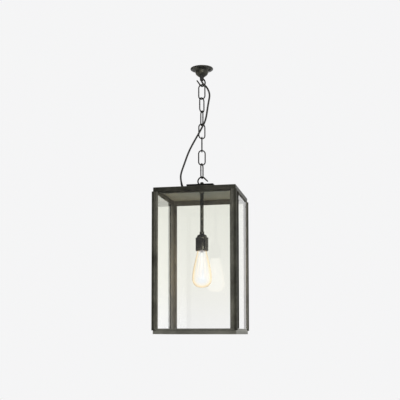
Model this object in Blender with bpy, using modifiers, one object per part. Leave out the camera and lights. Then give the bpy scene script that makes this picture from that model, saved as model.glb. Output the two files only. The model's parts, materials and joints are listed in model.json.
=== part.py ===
# Hanging glass lantern: square metal frame with four clear panes, held by a
# seven-link chain between two wrought hooks and lit by one pear-shaped lamp.
# Origin: the middle of the ceiling plate's flat top face. +Z up, -Y is the front.
import bpy
import bmesh
import numpy as np
from math import cos, sin, pi, radians, sqrt
from mathutils import Matrix, Vector

MM = 0.001

# ---- driving dimensions, millimetres -------------------------------------
LANTERN_W = 270.0        # over the corner angles, width and depth
LANTERN_H = 461.0        # underside of the bottom rails to the top of the top rails
PROUD = 4.0              # corner angles stand this far outside the rails
GAP = 0.3                # running gap between neighbouring pieces

PLATE_R = 37.4           # ceiling plate
PLATE_DROP = 30.0        # ceiling to the end of the plate's neck
SCREW_X = 25.0           # countersunk screw holes, either side of the middle
BOSS_H = 12.5            # domed foot of each hook
BOSS_R = 6.5
HOOK_WIRE = 4.7
HOOK_REACH = 16.85       # tip of the boss to the wire at the hook's bend

LINKS = 7
LINK_WIRE = 4.0
LINK_W = 25.5            # outside width
LINK_H = 52.4            # outside length
# turn of each link about the vertical, from the front plane
LINK_TURN = (-8.0, 61.0, 120.0, 34.0, 102.0, 17.0, 82.0)
UPPER_HOOK_TURN = 47.0
LOWER_HOOK_TURN = -5.0

RAIL_TOP_H = 13.4        # face of the top rails
RAIL_LOW_H = 17.4        # face of the bottom rails
POST_LEG = 14.8          # width of the frame posts' legs
POST_T = 3.5
STILE_W = 49.0           # flat bars beside two of the posts, on the sides
STOP_T = 1.5             # metal of the inner glass stops
WIDE_STOP = 19.3         # legs of the two wide stops: along the front and rear,
BACK_STOP = 48.0         # and along the sides
ANGLE_LEG = 8.6
ANGLE_LOW = 11.4         # foot of the corner angles above the underside
GLASS_T = 3.0
CAP_W, CAP_D = 88.0, 76.0
CAP_RISE = 24.0          # top of the cap above the top rails
ROOF_T = 2.0
ROOF_RISE = 6.5          # middle panel of the roof above its edges
ROOF_PANEL = 50.0        # half width of the flat middle panel
SHEET = 2.0

STEM_R = 5.7
STEM_BORE = 4.2
HOLDER_R = 20.8
HOLDER_Z = 271.0         # open end of the lampholder above the lantern's underside
LAMP_R = 32.0
LAMP_L = 120.5           # lamp below the lampholder
CAP27_R = 13.0           # lamp cap

CORD_R = 2.95
FLEX_R = 1.7

# ---- heights that follow ---------------------------------------------------
Z_NECK = -PLATE_DROP
Z_BOSS = Z_NECK - BOSS_H
Z_HOOK = Z_BOSS - HOOK_REACH
LINK_C = LINK_H - LINK_WIRE                 # between the wire centres of a link's two bends
Z_LINK1 = Z_HOOK + HOOK_WIRE / 2 + LINK_WIRE / 2 + 2 * GAP
PITCH = LINK_C - LINK_WIRE - GAP
Z_LAST = Z_LINK1 - PITCH * (LINKS - 1) - LINK_C
Z_LOWHOOK = Z_LAST + HOOK_WIRE / 2 + LINK_WIRE / 2 + GAP
Z_CAP = Z_LOWHOOK - HOOK_REACH - BOSS_H     # top face of the cap
Z_RAIL = Z_CAP - CAP_RISE                   # top of the top rails
Z0 = Z_RAIL - LANTERN_H                     # underside of the lantern

OUT = LANTERN_W / 2
FACE = OUT - PROUD                          # outer face of rails and posts
GLASS_OUT = FACE - POST_T - GAP             # outer face of the panes
GLASS_IN = GLASS_OUT - GLASS_T
STOP_OUT = GLASS_IN - GAP

# ---- scene -----------------------------------------------------------------
for o in list(bpy.data.objects):
    bpy.data.objects.remove(o, do_unlink=True)
for c in list(bpy.data.collections):
    bpy.data.collections.remove(c)
PARTS = bpy.data.collections.new("hanging_lantern")
CUTS = bpy.data.collections.new("cutters")
bpy.context.scene.collection.children.link(PARTS)
bpy.context.scene.collection.children.link(CUTS)


def material(name, rgb, rough=0.5, metal=0.0, alpha=1.0, glow=0.0):
    m = bpy.data.materials.new(name)
    m.use_nodes = True
    b = m.node_tree.nodes["Principled BSDF"]
    b.inputs["Base Color"].default_value = (*rgb, 1)
    b.inputs["Roughness"].default_value = rough
    b.inputs["Metallic"].default_value = metal
    b.inputs["Alpha"].default_value = alpha
    if glow:
        b.inputs["Emission Color"].default_value = (*rgb, 1)
        b.inputs["Emission Strength"].default_value = glow
    m.diffuse_color = (*rgb, alpha)
    return m


LOOKS = {
    "bronze": ((0.05, 0.048, 0.04), 0.45, 0.8),
    "steel": ((0.45, 0.45, 0.44), 0.35, 1.0),
    "brass": ((0.6, 0.42, 0.16), 0.3, 1.0),
    "glass": ((0.9, 0.95, 0.93), 0.05, 0.0, 0.25),
    "lamp_glass": ((1.0, 0.93, 0.78), 0.05, 0.0, 0.4),
    "ceramic": ((0.85, 0.83, 0.78), 0.4, 0.0),
    "filament": ((1.0, 0.7, 0.35), 0.4, 0.0, 1.0, 4.0),
    "cord": ((0.03, 0.03, 0.03), 0.85, 0.0),
    "rubber": ((0.03, 0.03, 0.03), 0.7, 0.0),
    "cotton": ((0.75, 0.72, 0.62), 0.9, 0.0),
}


def keep(o, look=None, cutter=False):
    (CUTS if cutter else PARTS).objects.link(o)
    if cutter:
        o.hide_render = True
        o.display_type = "WIRE"
    else:
        o.data.materials.clear()
        o.data.materials.append(material(o.name + "_look", *LOOKS[look]))
    return o


def from_bmesh(name, bm, look=None, cutter=False):
    bmesh.ops.recalc_face_normals(bm, faces=bm.faces)
    me = bpy.data.meshes.new(name)
    bm.to_mesh(me)
    bm.free()
    return keep(bpy.data.objects.new(name, me), look, cutter)


def prism(name, outline, a, b, axis="Z", look=None, cutter=False, mitre=False):
    """Closed outline pushed from a to b along an axis, millimetres.

    axis Z: outline is (x, y). axis X: outline is (y, z). With mitre, each end
    follows the outline's own distance from the middle, as a mitred frame does.
    """
    bm = bmesh.new()
    rings = []
    for end in (a, b):
        ring = []
        for p, q in outline:
            if axis == "Z":
                v = (p, q, end)
            else:
                x = end if not mitre else (abs(p) - GAP * 0.75) * (1 if end > 0 else -1)
                v = (x, p, q)
            ring.append(bm.verts.new([c * MM for c in v]))
        rings.append(ring)
    n = len(outline)
    for i in range(n):
        j = (i + 1) % n
        bm.faces.new((rings[0][i], rings[0][j], rings[1][j], rings[1][i]))
    bm.faces.new(rings[0][::-1])
    bm.faces.new(rings[1])
    return from_bmesh(name, bm, look, cutter)


def block(name, x, y, z, look=None, cutter=False):
    return prism(name, [(x[0], y[0]), (x[1], y[0]), (x[1], y[1]), (x[0], y[1])],
                 z[0], z[1], "Z", look, cutter)


def lathe(name, profile, look=None, steps=40, cutter=False, at=(0, 0, 0)):
    """Profile of (radius, z) points, turned about the vertical through at."""
    bm = bmesh.new()
    vs = [bm.verts.new(((r + 0.0) * MM, 0, z * MM)) for r, z in profile]
    on_axis = profile[0][0] < 1e-6 and profile[-1][0] < 1e-6
    for p, q in zip(vs, vs[1:]):
        bm.edges.new((p, q))
    if not on_axis:
        bm.edges.new((vs[-1], vs[0]))
    bmesh.ops.spin(bm, geom=bm.verts[:] + bm.edges[:], cent=(0, 0, 0), axis=(0, 0, 1),
                   angle=2 * pi, steps=steps, use_merge=True)
    bmesh.ops.remove_doubles(bm, verts=bm.verts[:], dist=1e-6)
    bmesh.ops.translate(bm, verts=bm.verts[:], vec=[c * MM for c in at])
    return from_bmesh(name, bm, look, cutter)


def smooth_run(points, step):
    """Points about step apart on one smooth curve through the given ones, millimetres."""
    p = np.array(points, float)
    t = np.concatenate([[0], np.cumsum(np.sqrt(np.linalg.norm(np.diff(p, axis=0), axis=1)))])
    h, n = np.diff(t), len(t)
    a, rhs = np.eye(n), np.zeros((n, 3))
    for i in range(1, n - 1):
        a[i, i - 1:i + 2] = h[i - 1], 2 * (h[i - 1] + h[i]), h[i]
        rhs[i] = 6 * ((p[i + 1] - p[i]) / h[i] - (p[i] - p[i - 1]) / h[i - 1])
    m = np.linalg.solve(a, rhs)
    fine = []
    for i in range(n - 1):
        for u in np.linspace(0, 1, 24, endpoint=False):
            b = 1 - u
            fine.append(b * p[i] + u * p[i + 1]
                        + h[i] ** 2 / 6 * ((b ** 3 - b) * m[i] + (u ** 3 - u) * m[i + 1]))
    fine = np.array(fine + [p[-1]])
    run = np.concatenate([[0], np.cumsum(np.linalg.norm(np.diff(fine, axis=0), axis=1))])
    at = np.linspace(0, run[-1], int(round(run[-1] / step)) + 1)
    return [tuple(float(np.interp(d, run, fine[:, k])) for k in range(3)) for d in at]


def wire(name, points, r, look=None, closed=False, sides=2, smooth=False, fine=4, cutter=False):
    """Round wire through points in millimetres; smooth rounds it between them."""
    cu = bpy.data.curves.new(name, "CURVE")
    cu.dimensions = "3D"
    cu.bevel_depth = r * MM
    cu.bevel_resolution = sides
    cu.use_fill_caps = True
    cu.resolution_u = fine
    if smooth:
        s = cu.splines.new("BEZIER")
        s.bezier_points.add(len(points) - 1)
        for bp, p in zip(s.bezier_points, points):
            bp.co = [c * MM for c in p]
            bp.handle_left_type = bp.handle_right_type = "AUTO"
    else:
        s = cu.splines.new("POLY")
        s.points.add(len(points) - 1)
        for sp, p in zip(s.points, points):
            sp.co = (*[c * MM for c in p], 1)
    s.use_cyclic_u = closed
    tmp = bpy.data.objects.new(name + "_path", cu)
    bpy.context.scene.collection.objects.link(tmp)
    me = bpy.data.meshes.new_from_object(tmp)
    bpy.data.objects.remove(tmp, do_unlink=True)
    me.name = name
    bm = bmesh.new()
    bm.from_mesh(me)
    bmesh.ops.remove_doubles(bm, verts=bm.verts[:], dist=1e-6)
    bm.to_mesh(me)
    bm.free()
    o = bpy.data.objects.new(name, me)
    return keep(o, look, cutter)


def cut(o, *tools, union=False):
    for t in tools:
        m = o.modifiers.new(("join_" if union else "cut_") + t.name, "BOOLEAN")
        m.operation = "UNION" if union else "DIFFERENCE"
        m.solver = "EXACT"
        m.object = t
    return o


def soften(o, width, segments=2, angle=40):
    m = o.modifiers.new("soft_edges", "BEVEL")
    m.width = width * MM
    m.segments = segments
    m.limit_method = "ANGLE"
    m.angle_limit = radians(angle)
    m.use_clamp_overlap = True
    return o


def turn(points, degrees):
    c, s = cos(radians(degrees)), sin(radians(degrees))
    return [(c * x - s * y, s * x + c * y, z) for x, y, z in points]


def rod_cutter(name, r, z0, z1, x=0.0, y=0.0, steps=24):
    return lathe(name, [(0, z1), (r, z1), (r, z0), (0, z0)], steps=steps, cutter=True, at=(x, y, 0))


# ---- ceiling plate -----------------------------------------------------------
plate = lathe("ceiling_plate", [
    (0, -12), (0, -PLATE_DROP), (7.4, -PLATE_DROP), (8.4, -28.6), (10.6, -26.8), (15.2, -23.6),
    (19.4, -19.0), (21.2, -14.0), (21.8, -9.0), (23.2, -7.2), (30.0, -5.4), (36.4, -3.8),
    (PLATE_R, -2.6), (PLATE_R, -0.6), (PLATE_R - 0.8, 0), (18.6, 0), (18.2, -9.0), (17.0, -12)],
    "bronze", steps=36)
screw_holes = []
for side in (-1, 1):
    screw_holes.append(lathe("screw_hole_%d" % side, [
        (0, 1), (2.6, 1), (2.6, -3.0), (4.9, -5.2), (4.9, -9), (0, -9)],
        steps=20, cutter=True, at=(side * SCREW_X, 0, 0)))
CORD_X, CORD_Y = 1.0, -11.6                  # where the cord leaves the plate
cut(plate, *screw_holes,
    rod_cutter("hook_shank_hole", 3.0 + GAP, -PLATE_DROP - 5, -5),
    rod_cutter("cord_hole", CORD_R + GAP, -40, -5, CORD_X, CORD_Y))


# ---- hooks ------------------------------------------------------------------
def hook(name, z_boss, up, degrees, shank):
    """Forged hook: domed boss, threaded shank behind it, open bend ahead of it.

    z_boss is the tip of the boss and up is +1 where the bend stands above it.
    """
    line = [(-4.0, -8.4), (-8.0, -7.4), (-11.6, -4.0), (-13.6, 1.6), (-12.7, 7.6),
            (-9.0, 12.9), (-4.2, 16.0), (0.0, HOOK_REACH), (4.4, 15.4), (8.6, 12.2),
            (14.6, 6.2), (21.0, 0.4)]
    pts = turn([(u * up, 0, z_boss + v * up) for u, v in line], degrees)
    bend = wire(name + "_bend", pts, HOOK_WIRE / 2, smooth=True, sides=2, fine=4, cutter=True)
    h = BOSS_H
    prof = [(0, 0), (3.4, -0.5), (5.4, -2.2), (6.3, -4.6), (BOSS_R, -7.6), (BOSS_R, -h + 1.0),
            (BOSS_R - 0.6, -h + GAP), (3.0, -h + GAP), (3.0, -h - shank + 0.6),
            (2.4, -h - shank), (0, -h - shank)]
    o = lathe(name, [(r, z_boss + v * up) for r, v in prof], "bronze", steps=28)
    return cut(o, bend, union=True)


def nut(name, flats, height, bore, z, look="steel", x=0.0, y=0.0):
    r = flats / sqrt(3)
    ring = [(x + r * cos(pi / 3 * k), y + r * sin(pi / 3 * k)) for k in range(6)]
    o = prism(name, ring, z, z + height, "Z", look)
    soften(o, 0.4, 1)
    return cut(o, rod_cutter(name + "_bore", bore, z - 5, z + height + 5, x, y))


hook("upper_hook", Z_BOSS, -1, UPPER_HOOK_TURN, 23.0)
nut("upper_hook_nut", 10.0, 4.0, 3.0 + GAP, -12 + GAP)

# ---- chain -----------------------------------------------------------------
half_w = (LINK_W - LINK_WIRE) / 2
for k in range(LINKS):
    z_top = Z_LINK1 - PITCH * k
    loop = []
    for i in range(11):
        a = pi * i / 10
        loop.append((half_w * cos(a), 0, z_top - half_w + half_w * sin(a)))
    for i in range(11):
        a = pi + pi * i / 10
        loop.append((half_w * cos(a), 0, z_top - LINK_C + half_w + half_w * sin(a)))
    wire("chain_link_%d" % (k + 1), turn(loop, LINK_TURN[k]), LINK_WIRE / 2, "bronze",
         closed=True, sides=2)

hook("lower_hook", Z_CAP + BOSS_H, 1, LOWER_HOOK_TURN, 5.0)
nut("lower_hook_nut", 10.0, 2.8, 3.0 + GAP, Z_CAP - SHEET - GAP - 2.8)

# ---- cap ---------------------------------------------------------------------
GLAND_Z = Z_CAP - 9.4
roof_top = Z_RAIL + ROOF_RISE
cap = block("cap_cover", (-CAP_W / 2, CAP_W / 2), (-CAP_D / 2, CAP_D / 2),
            (roof_top + GAP, Z_CAP), "bronze")
soften(cap, 1.2, 2)
hollow = block("cap_hollow", (-CAP_W / 2 + SHEET, CAP_W / 2 - SHEET),
               (-CAP_D / 2 + SHEET, CAP_D / 2 - SHEET), (roof_top - 9, Z_CAP - SHEET), cutter=True)
gland_hole = prism("gland_hole", [(4.6 * cos(2 * pi * i / 24), GLAND_Z + 4.6 * sin(2 * pi * i / 24))
                                  for i in range(24)], -CAP_W / 2 - 4, -CAP_W / 2 + 6, "X", cutter=True)
cut(cap, hollow, gland_hole, rod_cutter("lower_shank_hole", 3.0 + GAP, Z_CAP - 8, Z_CAP + 5))

gland_profile = [(CORD_R + GAP, -6.0), (5.4, -6.0), (6.0, -5.4), (6.0, -GAP), (4.3, -GAP),
                 (4.3, SHEET + GAP), (5.6, SHEET + GAP + 0.2), (5.2, 5.0), (CORD_R + GAP, 5.0)]
gland = lathe("cord_gland", gland_profile, "rubber", steps=24)
gland.data.transform(Matrix.Translation((-CAP_W / 2 * MM, 0, GLAND_Z * MM))
                     @ Matrix.Rotation(pi / 2, 4, "Y"))

# ---- roof plate: shallow slopes up to a flat middle panel ----------------------
edge = FACE - POST_T - GAP
bm = bmesh.new()
layers = []
for z_edge, z_mid in ((Z_RAIL - GAP, roof_top), (Z_RAIL - GAP - ROOF_T, roof_top - ROOF_T)):
    outer = [bm.verts.new((sx * edge * MM, sy * edge * MM, z_edge * MM))
             for sx, sy in ((-1, -1), (1, -1), (1, 1), (-1, 1))]
    inner = [bm.verts.new((sx * ROOF_PANEL * MM, sy * ROOF_PANEL * MM, z_mid * MM))
             for sx, sy in ((-1, -1), (1, -1), (1, 1), (-1, 1))]
    layers.append((outer, inner))
for outer, inner in layers:
    bm.faces.new(inner)
    for i in range(4):
        j = (i + 1) % 4
        bm.faces.new((outer[i], outer[j], inner[j], inner[i]))
for i in range(4):
    j = (i + 1) % 4
    bm.faces.new((layers[0][0][i], layers[0][0][j], layers[1][0][j], layers[1][0][i]))
roof = from_bmesh("roof_plate", bm, "bronze")
cut(roof, rod_cutter("stem_hole", STEM_R + GAP, roof_top - 12, roof_top + 6))

# ---- rails ---------------------------------------------------------------------
web_z = Z_RAIL - 2 * GAP - ROOF_T            # top of the web that carries the roof
top_section = [
    (-FACE, Z_RAIL - RAIL_TOP_H), (-FACE + POST_T, Z_RAIL - RAIL_TOP_H),
    (-FACE + POST_T, web_z - 3.2), (-STOP_OUT, web_z - 3.2), (-STOP_OUT, web_z - 17.0),
    (-STOP_OUT + 2.0, web_z - 17.0), (-STOP_OUT + 2.0, web_z), (-FACE + POST_T, web_z),
    (-FACE + POST_T, Z_RAIL), (-FACE + 0.8, Z_RAIL), (-FACE, Z_RAIL - 0.8)]
low_section = [
    (-FACE, Z0), (-FACE + 14.0, Z0), (-FACE + 14.0, Z0 + 4.0), (-FACE + POST_T, Z0 + 4.0),
    (-FACE + POST_T, Z0 + RAIL_LOW_H), (-FACE + 2.0, Z0 + RAIL_LOW_H), (-FACE + 2.0, Z0 + 12.8),
    (-FACE, Z0 + 10.6)]
SIDES = (("front", 0), ("right", 90), ("rear", 180), ("left", 270))
for section, kind in ((top_section, "top_rail"), (low_section, "bottom_rail")):
    for side, degrees in SIDES:
        o = prism("%s_%s" % (kind, side), section, -1, 1, "X", "bronze", mitre=True)
        o.data.transform(Matrix.Rotation(radians(degrees), 4, "Z"))

# ---- corners: frame post, outer angle, glass stop ------------------------------
leg_in = FACE - POST_LEG
groove = (FACE - 4.7, FACE - 9.1)            # glazing groove along each leg
post = [(FACE, FACE), (FACE, groove[0]), (FACE - 2, groove[0]), (FACE - 2, groove[1]),
        (FACE, groove[1]), (FACE, leg_in), (FACE - POST_T, leg_in),
        (FACE - POST_T, FACE - POST_T), (leg_in, FACE - POST_T), (leg_in, FACE),
        (groove[1], FACE), (groove[1], FACE - 2), (groove[0], FACE - 2), (groove[0], FACE)]
a_in = FACE + GAP
a_leg = OUT - ANGLE_LEG
r_c = 3.2                                    # rounded outer edge of the corner angles
angle = [(OUT, a_leg)] + [(OUT - r_c + r_c * cos(pi / 2 * i / 5), OUT - r_c + r_c * sin(pi / 2 * i / 5))
                          for i in range(6)] + [(a_leg, OUT), (a_leg, a_in), (a_in, a_in), (a_in, a_leg)]


def stop_outline(first, second):
    """An inner angle with legs of these lengths, both measured from the frame's face."""
    return [(STOP_OUT, STOP_OUT), (STOP_OUT, FACE - first), (STOP_OUT - STOP_T, FACE - first),
            (STOP_OUT - STOP_T, STOP_OUT - STOP_T), (FACE - second, STOP_OUT - STOP_T),
            (FACE - second, STOP_OUT)]


CORNERS = (("rear_right", 0), ("rear_left", 90), ("front_left", 180), ("front_right", 270))
for place, degrees in CORNERS:
    wide = place in ("front_right", "rear_left")
    stop = stop_outline(WIDE_STOP, BACK_STOP) if wide else stop_outline(POST_LEG - GAP, POST_LEG - GAP)
    for outline, kind, low, high in (
            (post, "frame_post", Z0 + RAIL_LOW_H + GAP, Z_RAIL - RAIL_TOP_H - GAP),
            (angle, "corner_angle", Z0 + ANGLE_LOW, Z_RAIL - RAIL_TOP_H - GAP),
            (stop, "glass_stop", Z0 + 4.0 + GAP, web_z - 17.0 - GAP)):
        o = prism("%s_%s" % (kind, place), outline, low, high, "Z", "bronze")
        o.data.transform(Matrix.Rotation(radians(degrees), 4, "Z"))

# ---- side stiles: flat bars beside one post of each side, over the pane's edge ----
for place, degrees in (("front_right", 90), ("rear_left", 270)):
    o = block("side_stile_" + place, (-leg_in + GAP, -leg_in + STILE_W), (-FACE, -GLASS_OUT - GAP),
              (Z0 + RAIL_LOW_H + GAP, Z_RAIL - RAIL_TOP_H - GAP), "bronze")
    o.data.transform(Matrix.Rotation(radians(degrees), 4, "Z"))

# ---- panes -----------------------------------------------------------------------
pane_z = (Z0 + 4.0 + GAP, web_z - 3.2 - 2.0)
for side, degrees in SIDES:
    half = GLASS_OUT if side in ("front", "rear") else GLASS_IN - GAP
    o = block("glass_pane_" + side, (-half, half), (-GLASS_OUT, -GLASS_IN), pane_z, "glass")
    o.data.transform(Matrix.Rotation(radians(degrees), 4, "Z"))

# ---- stem and lampholder -----------------------------------------------------------
ceiling = roof_top - ROOF_T
z_open = Z0 + HOLDER_Z
z_ring = z_open + 38.0
z_dome = z_ring + 4.4
z_top = z_dome + 11.0                        # top of the lampholder's dome
lathe("stem_tube", [(STEM_BORE, roof_top + 4.6), (STEM_R, roof_top + 4.6),
                    (STEM_R, z_top - 3.6), (STEM_BORE, z_top - 3.6)], "bronze", steps=28)
bore = STEM_R + GAP                          # every ring on the stem is bored to this
lathe("stem_collar", [(bore, ceiling - GAP), (bore + 3.4, ceiling - GAP), (bore + 3.0, ceiling - 1.6),
                      (bore + 1.2, ceiling - 5.2), (bore + 0.6, ceiling - 7.0), (bore, ceiling - 7.0)],
      "bronze", steps=28)
nut("stem_nut", 2 * bore + 5.0, 3.6, bore, roof_top + GAP)
lathe("stem_locknut", [(bore, z_top + GAP), (bore + 1.0, z_top + GAP), (bore + 1.9, z_top + 1.6),
                       (bore + 1.9, z_top + 7.4), (bore + 0.8, z_top + 9.4), (bore, z_top + 9.4)][::-1],
      "bronze", steps=28)
lathe("lampholder_dome", [
    (bore, z_top), (bore + 3.0, z_top), (12.6, z_top - 1.0), (15.0, z_top - 3.2),
    (16.2, z_top - 6.4), (17.4, z_dome + 1.4), (18.6, z_dome + GAP), (15.6, z_dome + GAP),
    (15.0, z_dome + 2.6), (13.6, z_top - 4.6), (11.6, z_top - 2.8), (bore, z_top - 2.0)],
    "bronze", steps=40)
lathe("lampholder_ring", [
    (17.4, z_dome), (HOLDER_R, z_dome), (HOLDER_R + 0.6, z_dome - 0.8), (HOLDER_R + 0.6, z_ring + 1.2),
    (HOLDER_R, z_ring + GAP), (17.4, z_ring + GAP)], "bronze", steps=40)
lathe("lampholder_skirt", [
    (17.6, z_ring), (HOLDER_R, z_ring), (HOLDER_R, z_open + 2.4), (HOLDER_R - 0.5, z_open),
    (HOLDER_R - 1.8, z_open), (HOLDER_R - 1.8, z_ring - 6.0), (17.6, z_ring - 6.0)][:4] + [
    (HOLDER_R - 1.7, z_open), (HOLDER_R - 1.7, z_ring - 2.0), (17.0, z_ring - 1.6), (17.0, z_ring)],
    "bronze", steps=40)
cap_low = z_open + 5.5                        # open rim of the lamp's cap
cap_high = cap_low + 22.0
insert = lathe("lampholder_insert", [
    (0, z_dome + 1.2), (13.0, z_dome + 1.2), (16.7, z_dome - 0.6), (16.7, z_ring - 12.0), (14.9, z_ring - 12.0),
    (14.9, cap_high + 4.4), (0, cap_high + 4.4)], "ceramic", steps=36)
cut(insert, rod_cutter("flex_hole", FLEX_R + GAP, z_ring - 40, z_dome + 9, -5.0, 0),
    rod_cutter("contact_hole", 1.6, z_ring - 40, z_dome + 9))
lathe("lampholder_screw_shell", [
    (13.6, cap_high + 4.1), (14.6, cap_high + 4.1), (14.6, cap_low + 4.0), (13.6, cap_low + 4.0)],
    "brass", steps=36)
lathe("lampholder_contact", [
    (0, cap_high + 12.0), (1.3, cap_high + 12.0), (1.3, cap_high + 4.1), (4.6, cap_high + 4.1),
    (4.6, cap_high + 3.2), (0, cap_high + 2.7)], "brass", steps=20)

# ---- lamp --------------------------------------------------------------------------
lamp_low = z_open - LAMP_L
scale = LAMP_R / 32.0
outline = [(0, 0), (8.0, 0.5), (15.6, 2.4), (22.0, 6.0), (27.0, 11.4), (30.4, 18.6), (31.8, 26.0),
           (32.0, 33.0), (31.4, 43.0), (29.9, 55.0), (27.5, 68.0), (24.6, 81.0), (21.4, 94.0),
           (18.4, 106.0), (16.2, 115.0), (14.6, 122.0)]
neck = CAP27_R - 0.8 - GAP
glass_outer = [(r * scale, lamp_low + h) for r, h in outline] + [
    (neck + 0.1, cap_low - 1.0), (neck, cap_low - 0.4), (neck, cap_low + 6.0)]
glass_inner = [(r * scale - 1.1 if r > 1 else 0, lamp_low + h + (1.1 if r < 16 else 0.9 if r < 25 else 0.2))
               for r, h in outline] + [
    (neck - 1.3, cap_low - 0.2), (neck - 1.2, cap_low + 0.8), (neck - 1.2, cap_low + 6.0)]
lathe("bulb_glass", glass_outer + glass_inner[::-1], "lamp_glass", steps=28)
lathe("bulb_cap", [
    (CAP27_R - 0.8, cap_low), (CAP27_R + 0.2, cap_low), (CAP27_R + 0.2, cap_low + 18.0), (10.4, cap_high - 1.6),
    (5.6, cap_high - 0.4), (5.6, cap_high - 1.4), (10.0, cap_high - 2.6),
    (CAP27_R - 0.8, cap_low + 17.6)], "brass", steps=36)
lathe("bulb_contact", [
    (0, cap_high + 2.2), (2.2, cap_high + 1.9), (4.4, cap_high + 0.9), (5.2, cap_high - 0.6),
    (5.2, cap_high - 3.0), (0, cap_high - 3.0)], "ceramic", steps=20)
mount_r = neck - 1.2 - GAP
lathe("bulb_mount", [
    (0, cap_low + 4.0), (mount_r - 1.4, cap_low + 4.0), (mount_r, cap_low + 5.6), (mount_r - 0.4, cap_low + 3.0),
    (5.6, cap_low - 6.0), (3.4, cap_low - 16.0), (2.6, cap_low - 30.0), (2.4, cap_low - 62.0),
    (3.6, cap_low - 64.0), (0, cap_low - 65.4)][:1] + [
    (mount_r, cap_low + 5.0), (mount_r, cap_low + 3.0), (6.4, cap_low - 5.0), (3.6, cap_low - 15.0),
    (2.6, cap_low - 28.0), (2.4, cap_low - 62.0), (3.4, cap_low - 64.0), (0, cap_low - 65.6)],
    "lamp_glass", steps=20)
TURNS = 10                                    # up-and-down runs of the cage filament
cage = []
for k in range(TURNS + 1):
    a = 2 * pi * k / (TURNS + 1) + 0.2
    high = k % 2 == 0
    r, z = (8.6, cap_low - 24.0) if high else (17.0, cap_low - 92.0)
    cage.append((r * cos(a), r * sin(a), z))
    if k < TURNS:
        a2 = a + 2 * pi / (TURNS + 1) * 0.25
        cage.append((r * cos(a2), r * sin(a2), z - (1.6 if not high else -1.6)))
lead = [(3.8, 1.0, cap_low - 19.6), (5.6, 1.3, cap_low - 22.0)]
wire("filament", lead + cage, 0.45, "filament", sides=0)

# ---- supply cord, outside, and the lighter flex inside the cap and stem -------------
VIEW = 12.27                                   # the bight of the cord lies in this turned plane
bight = [(4.6, -13.4, -56), (12.6, -14.0, -64), (20.6, -13.0, -76), (25.0, -12.0, -92),
         (23.2, -12.0, -109), (18.2, -14.0, -139), (14.0, -15.4, -166), (7.8, -16.6, -187),
         (0.0, -17.6, -203), (-9.6, -18.0, -221), (-28.6, -17.6, -255), (-44.4, -16.0, -287),
         (-57.4, -13.6, -322), (-66.0, -9.5, -346), (-69.4, -4.5, -361), (-68.8, 1.5, -374),
         (-66.4, 10.5, -386)]
stretch = (Z_CAP + 40.0) / (-392.85 + 40.0)     # keeps the bight on the cap when sizes change
shaped = [(u, w, -40.0 + (z + 40.0) * stretch) for u, w, z in bight]
cord_line = [(CORD_X, CORD_Y, z) for z in (-20.0, -25.0, -30.0, -36.0)]
cord_line += [(CORD_X + 1.0, CORD_Y - 0.6, -46.0)] + turn(shaped, VIEW)
cord_line += [(-CAP_W / 2 - 20.6, -1.0, GLAND_Z + 8.0), (-CAP_W / 2 - 13.2, -0.1, GLAND_Z + 1.4),
              (-CAP_W / 2 - 8.4, 0, GLAND_Z)]
cord_line = smooth_run(cord_line, 4.2 * CORD_R) + [(-CAP_W / 2 + 8.0, 0, GLAND_Z)]
wire("supply_cord", cord_line, CORD_R, "cord", sides=2)

bend = 7.5
flex = [(-CAP_W / 2 + 8.0 + GAP, 0, GLAND_Z), (-bend - 8, 0, GLAND_Z)]
for i in range(7):
    a = pi / 2 * i / 6
    flex.append((-bend + bend * sin(a), 0, GLAND_Z - bend + bend * cos(a)))
flex += [(0, 0, z_top - 3.0), (-1.2, 0, z_top - 4.5), (-3.8, 0, z_dome + 3.6), (-5.0, 0, z_dome + 1.0),
         (-5.0, 0, z_ring - 4.0)]
wire("inner_flex", flex, FLEX_R, "cotton", sides=1)
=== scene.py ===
# %% [markdown]
# # A hanging glass lantern
# A square bronze frame holds four clear panes. It hangs from the ceiling on a hook, seven
# wire links and a second hook, and a braided cord hangs beside the chain. This lesson
# loads the measured model as a fixed frame, then dresses it piece by piece.

# %% Load the measured model
import json
import bmesh
import bpy
import numpy as np
from math import cos, pi, radians, sin
from mathutils import Matrix, Vector


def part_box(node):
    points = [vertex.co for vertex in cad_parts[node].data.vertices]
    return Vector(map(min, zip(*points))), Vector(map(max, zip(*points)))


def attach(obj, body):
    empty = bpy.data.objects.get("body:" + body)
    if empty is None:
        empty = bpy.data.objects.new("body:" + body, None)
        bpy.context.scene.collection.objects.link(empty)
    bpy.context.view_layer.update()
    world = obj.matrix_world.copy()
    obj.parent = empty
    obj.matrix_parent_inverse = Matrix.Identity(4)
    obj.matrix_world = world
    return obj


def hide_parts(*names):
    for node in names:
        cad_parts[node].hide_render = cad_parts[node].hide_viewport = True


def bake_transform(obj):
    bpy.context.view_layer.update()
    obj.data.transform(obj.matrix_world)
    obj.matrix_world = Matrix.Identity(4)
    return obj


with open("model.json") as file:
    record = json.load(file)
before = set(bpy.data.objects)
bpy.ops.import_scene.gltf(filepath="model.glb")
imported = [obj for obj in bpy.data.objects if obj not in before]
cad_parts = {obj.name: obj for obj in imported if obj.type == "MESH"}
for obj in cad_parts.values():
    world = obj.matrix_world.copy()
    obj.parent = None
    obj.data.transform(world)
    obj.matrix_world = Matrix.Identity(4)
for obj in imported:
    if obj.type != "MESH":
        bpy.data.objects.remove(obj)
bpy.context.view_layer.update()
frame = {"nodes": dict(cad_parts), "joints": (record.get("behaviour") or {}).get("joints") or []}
MM = 0.001                                   # lengths below are millimetres times MM

# %% [markdown]
# ## The camera
# A long lens stands level with the lantern's foot, a little to its right, and looks up a
# few degrees. Its shift raises the frame so that the ceiling plate stays in view.

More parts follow.
